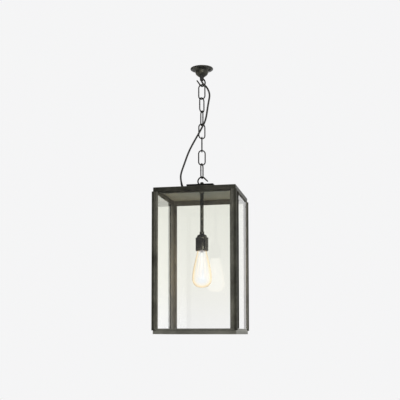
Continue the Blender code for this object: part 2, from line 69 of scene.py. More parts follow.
# %% Camera
VIEW_TURN = 12.27                            # degrees from straight in front, to the right
lens = bpy.data.cameras.new("camera")
lens.lens, lens.sensor_width = 70.74, 36.0
lens.shift_x, lens.shift_y = 0.0348, 0.2089
camera = bpy.data.objects.new("camera", lens)
camera.location = (0.4907, -2.5009, -0.8834)
camera.rotation_euler = (radians(93.83), 0, radians(VIEW_TURN))
bpy.context.scene.collection.objects.link(camera)
bpy.context.scene.camera = camera
print("camera at", tuple(round(c, 3) for c in camera.location))

# %% [markdown]
# ## The supply cord's route
# A cord is a fixed length of something limp. Its route is a handful of points that a
# smooth curve runs through: straight down out of the ceiling plate, out beside the first
# links, across the chain, then down to the gland in the side of the cap. The loose part
# is set out sideways, in depth and in height, turned to face the camera, and stretched to
# end at the cap. The curve is sampled at even steps, so that its weave keeps one size.

# %% Smooth route through the cord's points
CAP_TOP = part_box("cap_cover")[1].z / MM
CAP_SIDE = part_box("cap_cover")[0].x / MM
GLAND_Z = CAP_TOP - 9.4
CORD_R = 2.95
LOOSE_TOP, LOOSE_FOOT = -40.0, -392.85       # heights between which the loose part stretches
CORD_STEP = 1.8


def smooth_run(points, step):
    """Points about step apart on one smooth curve, a natural cubic spline."""
    p = np.array(points, float)
    t = np.concatenate([[0], np.cumsum(np.sqrt(np.linalg.norm(np.diff(p, axis=0), axis=1)))])
    h, n = np.diff(t), len(t)
    a, rhs = np.eye(n), np.zeros((n, 3))
    for i in range(1, n - 1):
        a[i, i - 1:i + 2] = h[i - 1], 2 * (h[i - 1] + h[i]), h[i]
        rhs[i] = 6 * ((p[i + 1] - p[i]) / h[i] - (p[i] - p[i - 1]) / h[i - 1])
    m = np.linalg.solve(a, rhs)
    fine = []
    for i in range(n - 1):
        for u in np.linspace(0, 1, 24, endpoint=False):
            b = 1 - u
            fine.append(b * p[i] + u * p[i + 1]
                        + h[i] ** 2 / 6 * ((b ** 3 - b) * m[i] + (u ** 3 - u) * m[i + 1]))
    fine = np.array(fine + [p[-1]])
    run = np.concatenate([[0], np.cumsum(np.linalg.norm(np.diff(fine, axis=0), axis=1))])
    at = np.linspace(0, run[-1], int(round(run[-1] / step)) + 1)
    return [Vector([float(np.interp(d, run, fine[:, k])) for k in range(3)]) for d in at]


def turned(points, degrees):
    """The same points turned about the vertical through the origin."""
    spin = Matrix.Rotation(radians(degrees), 3, "Z")
    return [spin @ Vector(p) for p in points]


bight = [(4.6, -13.4, -56), (12.6, -14.0, -64), (20.6, -13.0, -76), (25.0, -12.0, -92),
         (23.2, -12.0, -109), (18.2, -14.0, -139), (14.0, -15.4, -166), (7.8, -16.6, -187),
         (0.0, -17.6, -203), (-9.6, -18.0, -221), (-28.6, -17.6, -255), (-44.4, -16.0, -287),
         (-57.4, -13.6, -322), (-66.0, -9.5, -346), (-69.4, -4.5, -361), (-68.8, 1.5, -374),
         (-66.4, 10.5, -386)]
stretch = (CAP_TOP - LOOSE_TOP) / (LOOSE_FOOT - LOOSE_TOP)
shaped = [(u, w, LOOSE_TOP + (z - LOOSE_TOP) * stretch) for u, w, z in bight]
route = [(1.0, -11.6, z) for z in (-20.0, -25.0, -30.0, -36.0)] + [(2.0, -12.2, -46.0)]
route += turned(shaped, VIEW_TURN)
route += [(CAP_SIDE - 20.6, -1.0, GLAND_Z + 8.0), (CAP_SIDE - 13.2, -0.1, GLAND_Z + 1.4),
          (CAP_SIDE - 8.4, 0, GLAND_Z)]
cord_line = [p * MM for p in smooth_run(route, CORD_STEP)] + [
    Vector((CAP_SIDE + x, 0, GLAND_Z)) * MM for x in (-8, -6, -4, -2, 0, 2, 4, 6, 8)]
cord_length = sum((b - a).length for a, b in zip(cord_line, cord_line[1:]))
print("cord is", round(cord_length, 3), "m long over", len(cord_line), "points")

# %% [markdown]
# ## A tube along a line
# Cords, hooks, the flex and the filament are all round stock that follows a line. A ring
# is made once with create_circle, then each step extrudes it and carries it to the next
# point, turned the way the line turns. The UV map counts metres along and turns around.

# %% Tube maker
def headings(line):
    """Directions along a line, and a side direction at each point that never twists."""
    ways = [(b - a).normalized() for a, b in zip([line[0]] + line[:-1], line[1:] + [line[-1]])]
    ways[0] = (line[1] - line[0]).normalized()
    ways[-1] = (line[-1] - line[-2]).normalized()
    side = ways[0].orthogonal().normalized()
    sides = [side]
    for a, b in zip(ways, ways[1:]):
        side = (a.rotation_difference(b) @ side).normalized()
        sides.append(side)
    return ways, sides


def tube(bm, line, radii, sides=16, frames=None, start=0.0):
    """Sweeps a ring along the line, with its ends closed."""
    ways, across = frames or headings(line)
    radii = radii if isinstance(radii, list) else [radii] * len(line)
    spots = []
    for p, way, side, r in zip(line, ways, across, radii):
        spot = Matrix((side * r, way.cross(side) * r, way * r)).transposed().to_4x4()
        spot.translation = p
        spots.append(spot)
    uv = bm.loops.layers.uv.verify()
    ring = bmesh.ops.create_circle(bm, segments=sides, radius=1.0, matrix=spots[0])["verts"]
    first, run = list(ring), start
    edges = list({e for v in ring for e in v.link_edges})
    for before, spot in zip(spots, spots[1:]):
        grown = bmesh.ops.extrude_edge_only(bm, edges=edges)["geom"]
        ring = [g for g in grown if isinstance(g, bmesh.types.BMVert)]
        band = [g for g in grown if isinstance(g, bmesh.types.BMFace)]
        inside = set(ring)
        edges = [g for g in grown if isinstance(g, bmesh.types.BMEdge)
                 and g.verts[0] in inside and g.verts[1] in inside]
        bmesh.ops.transform(bm, matrix=spot @ before.inverted(), verts=ring)
        step = (spot.translation - before.translation).length
        for face in band:
            for loop in face.loops:
                late = loop.vert in inside
                flat = (spot if late else before).inverted() @ loop.vert.co
                loop[uv].uv = (np.arctan2(flat.y, flat.x) / (2 * pi) % 1.0, run + step * late)
            turns = [loop[uv].uv[0] for loop in face.loops]
            if max(turns) > 0.9 and min(turns) < 0.5:      # the face crosses the seam
                for loop in face.loops:
                    if loop[uv].uv[0] < 0.5:
                        loop[uv].uv[0] += 1.0
        run += step
    for end in (first, ring):
        bmesh.ops.contextual_create(bm, geom=end)


# %% [markdown]
# Every finished bmesh goes through one door: normals are recalculated, faces are shaded
# smooth with only true corners kept sharp, and the piece is told which body it rides on,
# which measured solid it stands for, and which finish it takes.

# %% Turn a bmesh into a riding piece
def settle(bm, name, body, finish, stands_for=None, sharp=38.0, even=False):
    """Makes the object for a finished bmesh."""
    bmesh.ops.recalc_face_normals(bm, faces=bm.faces)
    for face in bm.faces:
        face.smooth = True
    for edge in bm.edges:
        edge.smooth = edge.calc_face_angle(0.0) < radians(sharp)
    mesh = bpy.data.meshes.new(name)
    bm.to_mesh(mesh)
    bm.free()
    piece = bpy.data.objects.new(name, mesh)
    bpy.context.scene.collection.objects.link(piece)
    for each in finish if isinstance(finish, (list, tuple)) else [finish]:
        mesh.materials.append(each)
    if even:
        piece.modifiers.new("even_shading", "WEIGHTED_NORMAL").keep_sharp = True
    if body:
        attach(piece, body)
    if stands_for:
        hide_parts(*([stands_for] if isinstance(stands_for, str) else stands_for))
    return piece


# %% [markdown]
# ## Shader maths as plain sums
# A shader is a sum of small steps. `Sock` wraps one socket so that `0.3 + grain * 0.2`
# writes its own Math nodes, and `Finish.node` makes any other node from its kind, its
# settings and the values or links of its sockets.

# %% Finish maker
class Sock:
    """A shader socket that takes part in sums like a number."""
    def __init__(self, owner, socket):
        self.owner, self.socket = owner, socket

    def sum(self, kind, a, b):
        made = self.owner.tree.nodes.new("ShaderNodeMath")
        made.operation = kind
        for slot, value in zip(made.inputs, (a, b)):
            self.owner.plug(slot, value)
        return Sock(self.owner, made.outputs[0])

    def __add__(self, other): return self.sum("ADD", self, other)
    def __radd__(self, other): return self.sum("ADD", other, self)
    def __sub__(self, other): return self.sum("SUBTRACT", self, other)
    def __mul__(self, other): return self.sum("MULTIPLY", self, other)


class Nodes:
    """A node tree that is written as calls and sums."""
    def __init__(self, tree):
        self.tree = tree

    def plug(self, slot, value):
        """Links a socket or sets a plain value."""
        if isinstance(value, Sock):
            self.tree.links.new(value.socket, slot)
        else:
            slot.default_value = value

    def node(self, kind, settings=None, out=0, **values):
        """Makes a node, sets it up and gives back the output of that number."""
        made = self.tree.nodes.new("ShaderNode" + kind)
        for key, value in (settings or {}).items():
            if key == "stops":
                while len(made.color_ramp.elements) < len(value):
                    made.color_ramp.elements.new(0.5)
                for stop, (at, colour) in zip(made.color_ramp.elements, value):
                    stop.position, stop.color = at, (*colour, 1)
            else:
                setattr(made, key, value)
        for key, value in values.items():
            name = key.replace("_", " ")
            self.plug(next(s for s in made.inputs if s.enabled and s.name == name), value)
        given = [s for s in made.outputs if s.enabled]
        return Sock(self, given[out]) if given else None

    def blend(self, factor, first, second):
        """Mixes two shaders."""
        mix = self.tree.nodes.new("ShaderNodeMixShader")
        for slot, value in zip(mix.inputs, (factor, first, second)):
            self.plug(slot, value)
        return Sock(self, mix.outputs[0])


class Finish(Nodes):
    """One material: a Principled surface and the nodes that feed it."""
    def __init__(self, name, **constants):
        self.material = bpy.data.materials.new(name)
        self.material.use_nodes = True
        super().__init__(self.material.node_tree)
        self.surface = self.tree.nodes["Principled BSDF"]
        self.output = self.tree.nodes["Material Output"]
        for key, value in constants.items():
            self.surface.inputs[key.replace("_", " ")].default_value = value

    def show(self, shader):
        self.plug(self.output.inputs[0], shader)
        return self

    def feed(self, **values):
        for key, value in values.items():
            self.plug(self.surface.inputs[key.replace("_", " ")], value)
        return self

    def pass_lamp_light(self, tint):
        """Lets lamp rays straight through, so that clear glass casts only a faint shadow."""
        shadow_ray = self.node("LightPath", out=1)
        clear = self.node("BsdfTransparent", Color=(*tint, 1))
        return self.show(self.blend(shadow_ray, Sock(self, self.surface.outputs[0]), clear))


# %% [markdown]
# ## Weathered bronze
# The frame, hooks, chain and lampholder are one dark metal whose brown-black patina has
# olive clouds in it. Three noises make it: clouds and a slower drift for the colour, and
# a fine speckle for the roughness. A `rub` value that the bevels write along edges shows
# where hands and cloths have rubbed the patina back to a lighter metal. Each group of
# pieces has its own four shades, from darkest patina to worn edge. The paler groups are
# painted light: the posts, glass stops and inner rail faces that the lamp lights, the foot
# rails that the floor lights, and the roof's underside. The cap is darker than the frame,
# and the side stiles are darker still and have no shine.

# %% Bronze
def bronze(name, dark, middle, pale, worn, scale=1.0, roughness=0.36, **constants):
    """A patinated bronze; scale makes its clouds smaller."""
    f = Finish(name, **{"Metallic": 0.72, **constants})
    place = f.node("TexCoord", out=3)
    cloud = f.node("TexNoise", Vector=place, Scale=26.0 * scale, Detail=7.0, Roughness=0.62)
    speck = f.node("TexNoise", Vector=place, Scale=640.0, Detail=4.0, Roughness=0.6)
    drift = f.node("TexNoise", Vector=place, Scale=7.0 * scale, Detail=2.0)
    patch = cloud * 0.7 + drift * 0.3
    tint = f.node("ValToRGB", {"stops": [(0.36, dark), (0.5, middle), (0.66, pale)]}, Fac=patch)
    rub = f.node("Attribute", {"attribute_name": "rub"}, out=2)
    wear = f.node("MapRange", {"clamp": True}, Value=cloud + speck * 0.6, From_Min=0.55,
                  From_Max=0.95)
    edge = rub * wear * 0.85
    base = f.node("Mix", {"data_type": "RGBA"}, Factor=edge, A=tint, B=(*worn, 1))
    bump = f.node("Bump", Strength=0.32, Distance=0.00025, Height=speck * 0.75 + cloud * 0.5)
    f.feed(Base_Color=base, Normal=bump,
           Roughness=roughness + cloud * 0.16 + speck * 0.14 - edge * 0.16)
    return f.material


frame_bronze = bronze("weathered_bronze", (0.027, 0.026, 0.019), (0.053, 0.052, 0.04),
                      (0.092, 0.088, 0.068), (0.19, 0.18, 0.135))
forged_bronze = bronze("forged_bronze", (0.012, 0.011, 0.009), (0.028, 0.026, 0.021),
                       (0.055, 0.051, 0.039), (0.15, 0.135, 0.095), scale=3.0, roughness=0.42)
plate_bronze = bronze("ceiling_bronze", (0.018, 0.017, 0.012), (0.05, 0.05, 0.042),
                      (0.14, 0.132, 0.092), (0.3, 0.29, 0.22), scale=2.2, roughness=0.24)
# painted light: a paler bronze for the posts, glass stops and inner rail faces that the lamp
# lights
post_bronze = bronze("post_bronze", (0.092, 0.089, 0.072), (0.146, 0.141, 0.115),
                     (0.205, 0.198, 0.162), (0.3, 0.29, 0.235), Metallic=0.6)
stile_bronze = bronze("stile_bronze", (0.018, 0.0175, 0.014), (0.03, 0.029, 0.023),
                      (0.046, 0.044, 0.036), (0.12, 0.115, 0.09), roughness=0.62,
                      Metallic=0.0, Specular_IOR_Level=0.0)
# painted light: a paler bronze for the foot rails, lit from below by the bright floor
floor_lit_rail_bronze = bronze("foot_rail_bronze", (0.14, 0.138, 0.115), (0.19, 0.187, 0.157),
                     (0.25, 0.246, 0.207), (0.36, 0.35, 0.29))
# painted light: the palest bronze, for the roof's underside, which is lit from below
sheet_bronze = bronze("sheet_bronze", (0.3, 0.315, 0.275), (0.35, 0.367, 0.325),
                      (0.405, 0.425, 0.38), (0.45, 0.47, 0.42), scale=0.7, roughness=0.44,
                      Metallic=0.4)
holder_bronze = bronze("lampholder_bronze", (0.05, 0.048, 0.039), (0.068, 0.065, 0.053),
                       (0.09, 0.087, 0.07), (0.55, 0.53, 0.43), roughness=0.04, Metallic=1.0)
cap_bronze = bronze("cap_bronze", (0.006, 0.0058, 0.0048), (0.011, 0.0107, 0.009),
                    (0.02, 0.0194, 0.0165), (0.06, 0.057, 0.045), scale=2.0, roughness=0.5,
                    Metallic=0.5, Specular_IOR_Level=0.12)
print("made", len([m for m in bpy.data.materials if "bronze" in m.name]), "bronzes")

# %% [markdown]
# ## Glass
# The panes are 3 mm clear sheets with a breath of green along their ground edges. Their
# tint darkens and turns greener towards the top: painted shade, for the dimmer reflections
# up there. The lamp's bulb is thin, a little amber, and carries a glow of its own that
# stands for the glare of the filament inside it. A lit lamp is far brighter than a picture
# can show, so its reflection in a pane glows more than the bulb seen directly. Rays that
# come back from a pane are told by their length.

# %% Panes, their edges and the bulb
PANE_AWAY = 0.07                             # metres; every pane is further from the bulb
IN_THE_PANE = (2.2, 2.05, 1.95, 1)           # the bulb's glow as a pane mirrors it
pane = Finish("pane_glass", Roughness=0.0, Transmission_Weight=1.0, IOR=1.5)
height = pane.node("SeparateXYZ", out=2, Vector=pane.node("TexCoord", out=3))
pane_low, pane_high = (corner.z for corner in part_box("glass_pane_front"))
# painted shade: the panes' tint darkens and turns greener towards the top
pane.feed(Base_Color=pane.node("ValToRGB", {"stops": [
    (0.0, (1.0, 1.0, 0.995)), (0.35, (0.99, 0.99, 0.95)), (1.0, (0.972, 0.978, 0.925))]},
    Fac=(height - pane_low) * (1 / (pane_high - pane_low))))
pane.pass_lamp_light((0.93, 0.95, 0.92))
pane_edge = Finish("pane_edge", Base_Color=(0.72, 0.83, 0.74, 1), Roughness=0.28,
                   Transmission_Weight=0.85, IOR=1.5).pass_lamp_light((0.8, 0.86, 0.8))
bulb = Finish("lamp_glass", Roughness=0.0, Transmission_Weight=1.0, IOR=1.3,
              Emission_Strength=1.0)
facing = bulb.node("LayerWeight", out=1, Blend=0.42)
glow = bulb.node("ValToRGB", {"stops": [
    (0.0, (0.022, 0.030, 0.050)), (0.2, (0.034, 0.032, 0.036)), (0.45, (0.090, 0.055, 0.016)),
    (0.9, (0.080, 0.028, 0.0))]}, Fac=facing)
reflection_ray = bulb.node("LightPath", out=5)
ray_length = Sock(bulb, reflection_ray.socket.node.outputs["Ray Length"])
from_pane = reflection_ray * ray_length.sum("GREATER_THAN", ray_length, PANE_AWAY)
mirrored_glow = bulb.node("Mix", {"data_type": "RGBA"}, Factor=from_pane, A=glow, B=IN_THE_PANE)
bulb.feed(Emission_Color=mirrored_glow, Base_Color=bulb.node("ValToRGB", {"stops": [
    (0.0, (1.0, 1.0, 1.0)), (0.2, (0.995, 0.98, 0.95)), (0.5, (0.98, 0.9, 0.72))]}, Fac=facing))
bulb.pass_lamp_light((0.98, 0.95, 0.88))
# painted light: the glass mount carries a faint warm glow, as if lit by the filament
mount_glass_glow = Finish("lamp_mount_glass", Base_Color=(0.97, 0.97, 0.96, 1), Roughness=0.05,
                    Transmission_Weight=1.0, IOR=1.3, Emission_Color=(1.0, 0.88, 0.72, 1),
                    Emission_Strength=0.12).pass_lamp_light((0.95, 0.95, 0.95))
hot = Finish("filament", Base_Color=(0.012, 0.008, 0.004, 1), Roughness=0.6,
             Specular_IOR_Level=0.0, Emission_Color=(1.0, 0.92, 0.8, 1), Emission_Strength=1.1)
print("glass, glow and filament ready")

# %% [markdown]
# ## Small finishes
# Brass, zinc-plated steel, glazed ceramic and rubber each vary a little in colour and
# roughness. The braid follows its UV map: two families of strands wind opposite ways
# around the cord and cross over each other, with painted shade in the grooves between them.

# %% Brass, steel, ceramic, rubber and braid
def plain(name, deep, pale, scale, rough, **constants):
    """A finish that wanders between two shades."""
    f = Finish(name, **constants)
    place = f.node("TexCoord", out=3)
    cloud = f.node("TexNoise", Vector=place, Scale=scale, Detail=5.0, Roughness=0.6)
    fine = f.node("TexNoise", Vector=place, Scale=scale * 14, Detail=3.0)
    tint = f.node("ValToRGB", {"stops": [(0.35, deep), (0.68, pale)]}, Fac=cloud)
    bump = f.node("Bump", Strength=0.3, Distance=0.0001, Height=fine)
    f.feed(Base_Color=tint, Roughness=rough + cloud * 0.12, Normal=bump)
    return f.material


brass = plain("brass", (0.42, 0.27, 0.09), (0.62, 0.43, 0.17), 60, 0.2, Metallic=1.0)
steel = plain("zinc_steel", (0.3, 0.3, 0.29), (0.5, 0.5, 0.49), 90, 0.28, Metallic=1.0)
ceramic = plain("glazed_ceramic", (0.74, 0.72, 0.66), (0.84, 0.82, 0.77), 50, 0.22)
rubber = plain("rubber", (0.012, 0.012, 0.012), (0.03, 0.03, 0.029), 120, 0.6)


def braid(name, strand, shade, strands, lay):
    """Strands that wind both ways, one turn in each lay metres, with painted shade in the grooves
    between them.
    """
    f = Finish(name)
    uv = f.node("UVMap")
    around, along = (f.node("SeparateXYZ", out=k, Vector=uv) for k in (0, 1))
    turns = 1 / lay
    left = f.node("Math", {"operation": "SINE"},
                  Value=(around * strands + along * turns) * (2 * pi))
    right = f.node("Math", {"operation": "SINE"},
                   Value=(around * strands - along * turns) * (2 * pi))
    top = left.sum("MAXIMUM", left, right) * 0.5 + 0.5
    hairs = f.node("TexNoise", Vector=f.node("TexCoord", out=3), Scale=2600.0, Detail=2.0)
    # painted shade: the strands darken towards the grooves between them
    tint = f.node("ValToRGB", {"stops": [(0.25, shade), (0.9, strand)]},
                  Fac=top * 0.85 + hairs * 0.2)
    bump = f.node("Bump", Strength=0.7, Distance=0.0004, Height=top + hairs * 0.3)
    f.feed(Base_Color=tint, Normal=bump, Roughness=0.62 + hairs * 0.3)
    return f.material


# each braid's second colour is the painted shade in its grooves
cord_braid = braid("cord_braid", (0.055, 0.053, 0.048), (0.012, 0.012, 0.011), 8.0, 0.0052)
flex_cotton = braid("flex_cotton", (0.62, 0.58, 0.48), (0.3, 0.27, 0.2), 6.0, 0.003)
print("small finishes ready")

# %% [markdown]
# ## The supply cord
# The cord crosses every joint of the chain. It is cut into eight stretches, one for each
# joint. All are sliced from one line, so neighbours meet ring to ring and the braid runs on.

# %% Eight stretches of cord
BODIES = ["ceiling_mount"] + ["link_%d" % k for k in range(1, 8)] + ["lantern"]
JOINT_Z = sorted((j["pos_m"][2] for j in frame["joints"] if j["type"] == "hinge"), reverse=True)
FREE_TOP, FREE_FOOT = -0.047, GLAND_Z * MM + 0.026   # heights where the cord comes free
ways, across = headings(cord_line)
cuts = [0]
for a, b in zip(JOINT_Z, JOINT_Z[1:]):
    cuts.append(next(i for i, p in enumerate(cord_line) if p.z < (a + b) / 2))
cuts.append(len(cord_line) - 1)
run = 0.0
for k, (i, j) in enumerate(zip(cuts, cuts[1:])):
    line = cord_line[i:j + 1]
    bm = bmesh.new()
    tube(bm, line, CORD_R * MM, 20, (ways[i:j + 1], across[i:j + 1]), run)
    piece = settle(bm, "supply_cord_%d" % (k + 1), None, cord_braid, "supply_cord", sharp=60)
    length = sum((b - a).length for a, b in zip(line, line[1:]))
    run += length
    first = next(p for p in line if p.z < FREE_TOP) if k == 0 else line[0]
    last = next(p for p in line if p.z < FREE_FOOT) if k == 7 else line[-1]
    BODIES[k + 1]
    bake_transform(piece)
    print("stretch", k + 1, "is", round(length * 1000), "mm")

# %% [markdown]
# ## Turned pieces
# Anything round is a profile of radius and height spun about the vertical. The profile
# starts as a few vertices and edges, spin makes the surface, doubles are merged so that
# seams and poles close, and bevel takes the sharpness off true corners. The bevel's own
# faces get `rub`, which the bronze reads as wear.

# %% Lathe and bevel
def ease(bm, width, angle=32.0, segments=2):
    """Bevels the corners sharper than angle and marks them as rubbed."""
    corners = [e for e in bm.edges if len(e.link_faces) == 2
               and e.calc_face_angle(0.0) > radians(angle)]
    rub = bm.loops.layers.float.get("rub") or bm.loops.layers.float.new("rub")
    made = bmesh.ops.bevel(bm, geom=corners, offset=width * MM, offset_type="OFFSET",
                           affect="EDGES", segments=segments, profile=0.5, material=-1,
                           clamp_overlap=True)
    for face in made["faces"]:
        for loop in face.loops:
            loop[rub] = 1.0
    return bm


def lathe(profile, steps, eased=0.0, bm=None, matrix=None):
    """Spins a profile of (radius, height) points in millimetres, into bm if one is given."""
    turned_bm = bmesh.new()
    points = [turned_bm.verts.new((r * MM, 0, z * MM)) for r, z in profile]
    for a, b in zip(points, points[1:]):
        turned_bm.edges.new((a, b))
    if profile[0][0] > 1e-6 or profile[-1][0] > 1e-6:
        turned_bm.edges.new((points[-1], points[0]))
    bmesh.ops.spin(turned_bm, geom=turned_bm.verts[:] + turned_bm.edges[:], cent=(0, 0, 0),
                   axis=(0, 0, 1), angle=2 * pi, steps=steps, use_merge=True)
    bmesh.ops.remove_doubles(turned_bm, verts=turned_bm.verts[:], dist=1e-6)
    bmesh.ops.recalc_face_normals(turned_bm, faces=turned_bm.faces[:])
    if eased:
        ease(turned_bm, eased)
    if matrix is not None:
        turned_bm.transform(matrix)
    if bm is None:
        return turned_bm
    held = bpy.data.meshes.new("held")
    turned_bm.to_mesh(held)
    turned_bm.free()
    bm.from_mesh(held)
    bpy.data.meshes.remove(held)
    return bm


def low(node):
    """Height of a measured solid's foot, in millimetres."""
    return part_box(node)[0].z / MM


def high(node):
    """Height of a measured solid's top, in millimetres."""
    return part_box(node)[1].z / MM


def carve(piece, *cutters):
    """Cuts other bmeshes out of a piece and throws the cutters away."""
    for bm in cutters:
        bmesh.ops.recalc_face_normals(bm, faces=bm.faces)
        mesh = bpy.data.meshes.new("cutter")
        bm.to_mesh(mesh)
        bm.free()
        tool = bpy.data.objects.new("cutter", mesh)
        bpy.context.scene.collection.objects.link(tool)
        hole = piece.modifiers.new("hole", "BOOLEAN")
        hole.object, hole.operation, hole.solver = tool, "DIFFERENCE", "EXACT"
    view = bpy.context.evaluated_depsgraph_get()
    result = bpy.data.meshes.new_from_object(piece.evaluated_get(view))
    tools = [m.object for m in piece.modifiers]
    piece.modifiers.clear()
    piece.data = result
    for tool in tools:
        bpy.data.objects.remove(tool, do_unlink=True)
    return piece


# %% [markdown]
# ## Pieces that only need their edges eased
# Mitred rails, posts, angles, stops and nuts already have their true shape in the
# measured model. A copy is merged and its flat faces are dissolved whole again, then its
# corners are eased, because folded and sawn metal never has a knife edge.
#
# The underside of the roof and the inner faces of the top rails, which the lamp and the
# panes light, take paler bronzes than the faces outside: painted light. Two pieces of the
# rear right corner are hidden from mirror rays, so that the pane beside them mirrors only
# the pale room.

# %% Copy a measured solid with eased edges
MERGE = 2e-6                                 # metres between points that are one
FACES_IN = -0.08                             # metres; below it a face looks to the middle
FACES_UP = 0.3


def whole_faces(node, angle):
    """A bmesh of a measured solid, with flat faces in one piece."""
    bm = bmesh.new()
    bm.from_mesh(frame["nodes"][node].data)
    bmesh.ops.remove_doubles(bm, verts=bm.verts, dist=MERGE)
    bmesh.ops.dissolve_limit(bm, angle_limit=radians(angle), verts=bm.verts, edges=bm.edges)
    return bm


def dressed(node, body, finish, width):
    """A measured solid with its corners eased by width millimetres."""
    bm = ease(whole_faces(node, 0.8), width)
    piece = settle(bm, node + "_dressed", body, finish, node, sharp=55, even=True)
    return piece


SIDES = ("front", "right", "rear", "left")
CORNERS = ("rear_right", "rear_left", "front_left", "front_right")
for side in SIDES:
    rail = dressed("top_rail_" + side, "lantern", [frame_bronze, post_bronze], 0.5)
    # faces that look to the middle take the paler bronze: painted light from the lamp
    for face in rail.data.polygons:
        outwards = face.center * Vector((1, 1, 0))
        face.material_index = int(face.normal.dot(outwards) < FACES_IN)
    # the foot rails take a paler bronze: painted light from the floor below
    dressed("bottom_rail_" + side, "lantern", floor_lit_rail_bronze, 0.5)
for corner in CORNERS:
    # posts and glass stops take the paler bronze: painted light from the lamp
    dressed("frame_post_" + corner, "lantern", post_bronze, 0.35)
    dressed("corner_angle_" + corner, "lantern", frame_bronze, 0.45)
    dressed("glass_stop_" + corner, "lantern", post_bronze, 0.3)
roof = dressed("roof_plate", "lantern", [sheet_bronze, frame_bronze], 0.4)
# faces that don't look up take the pale bronze: painted light on the roof's underside
for face in roof.data.polygons:
    face.material_index = int(face.normal.z > FACES_UP)
for node, body in (("upper_hook_nut", "ceiling_mount"), ("lower_hook_nut", "lantern"),
                   ("stem_nut", "lantern")):
    dressed(node, body, steel, 0.25)
for place in ("front_right", "rear_left"):
    dressed("side_stile_" + place, "lantern", stile_bronze, 0.35)
for name in ("corner_angle_rear_right_dressed", "frame_post_rear_right_dressed"):
    bpy.data.objects[name].visible_glossy = False
print("frame pieces dressed")

# %% [markdown]
# ## Panes
# A pane is a slab whose edges are ground to a small flat. The ground faces scatter light
# and look green, so they take a second material in the same piece.

# %% Panes
BROAD = 0.02                                 # square metres; an edge face is far smaller
for side in SIDES:
    bm = whole_faces("glass_pane_" + side, 1)
    for face in bm.faces:
        face.material_index = int(face.calc_area() <= BROAD)
    bmesh.ops.bevel(bm, geom=bm.edges[:], offset=0.45 * MM, offset_type="OFFSET",
                    affect="EDGES", segments=1, profile=0.5, material=1)
    piece = settle(bm, "pane_" + side, "lantern", [pane.material, pane_edge.material],
                   "glass_pane_" + side, sharp=20)
print("four panes")

# %% [markdown]
# ## Chain
# A link is round wire bent to a long oval and butt-welded in one leg. A small circle is
# spun half a turn over the top bend, extruded down the leg with a swelling for the weld,
# spun under the bottom bend and extruded home, where its ends merge.

# %% Links
LINK_TURN = (-8.0, 61.0, 120.0, 34.0, 102.0, 17.0, 82.0)
WIRE = 2.0
BEND = 10.75                                 # from a link's middle line to its wire's
SWELL = 1.13                                 # the weld is this much thicker than the wire


def carry(bm, edges, rise, swell=1.0):
    """Extrudes a ring of edges by a height and scales it about its own middle."""
    grown = bmesh.ops.extrude_edge_only(bm, edges=edges)["geom"]
    ring = [g for g in grown if isinstance(g, bmesh.types.BMVert)]
    bmesh.ops.translate(bm, verts=ring, vec=(0, 0, rise * MM))
    middle = sum((v.co for v in ring), Vector()) / len(ring)
    bmesh.ops.scale(bm, verts=ring, vec=(swell, swell, 1), space=Matrix.Translation(-middle))
    inside = set(ring)
    return [g for g in grown if isinstance(g, bmesh.types.BMEdge)
            and g.verts[0] in inside and g.verts[1] in inside]


for k, turn in enumerate(LINK_TURN, 1):
    node = "chain_link_%d" % k
    top, foot = high(node) - WIRE - BEND, low(node) + WIRE + BEND
    bm = bmesh.new()
    bmesh.ops.create_circle(bm, segments=18, radius=WIRE * MM,
                            matrix=Matrix.Translation((BEND * MM, 0, top * MM)))
    edges = bm.edges[:]
    to_weld = (foot - top) / 2 + 1.5
    welded_leg = ((to_weld, 1.0), (-0.5, SWELL), (-2.0, 1.0), (-0.5, 1 / SWELL), (to_weld, 1.0))
    for z, leg in ((top, welded_leg), (foot, ((top - foot, 1.0),))):
        bent = bmesh.ops.spin(bm, geom=edges, cent=(0, 0, z * MM), axis=(0, -1, 0), angle=pi,
                              steps=20, use_merge=False)["geom_last"]
        edges = [g for g in bent if isinstance(g, bmesh.types.BMEdge)]
        for rise, swell in leg:
            edges = carry(bm, edges, rise, swell)
    bmesh.ops.remove_doubles(bm, verts=bm.verts[:], dist=MERGE)
    bmesh.ops.rotate(bm, verts=bm.verts[:], cent=(0, 0, 0),
                     matrix=Matrix.Rotation(radians(turn), 3, "Z"))
    piece = settle(bm, "link_%d_wire" % k, "link_%d" % k, forged_bronze, node)
print("seven links")

# %% [markdown]
# ## Hooks
# Each hook is forged in one: a domed boss with a threaded shank behind it, and a wire
# that leaves the boss, loops over and flares to an open tip. The boss is turned; the wire
# is swept along its line with a slightly drawn-down, rounded end. The lower hook is the
# upper one upside down, with a shorter shank.

# %% Upper and lower hooks
BOSS = 12.5                                  # the boss's height
HOOK_WIRE = 2.35
PLATE_FOOT = -30.0                           # where the ceiling plate's neck ends


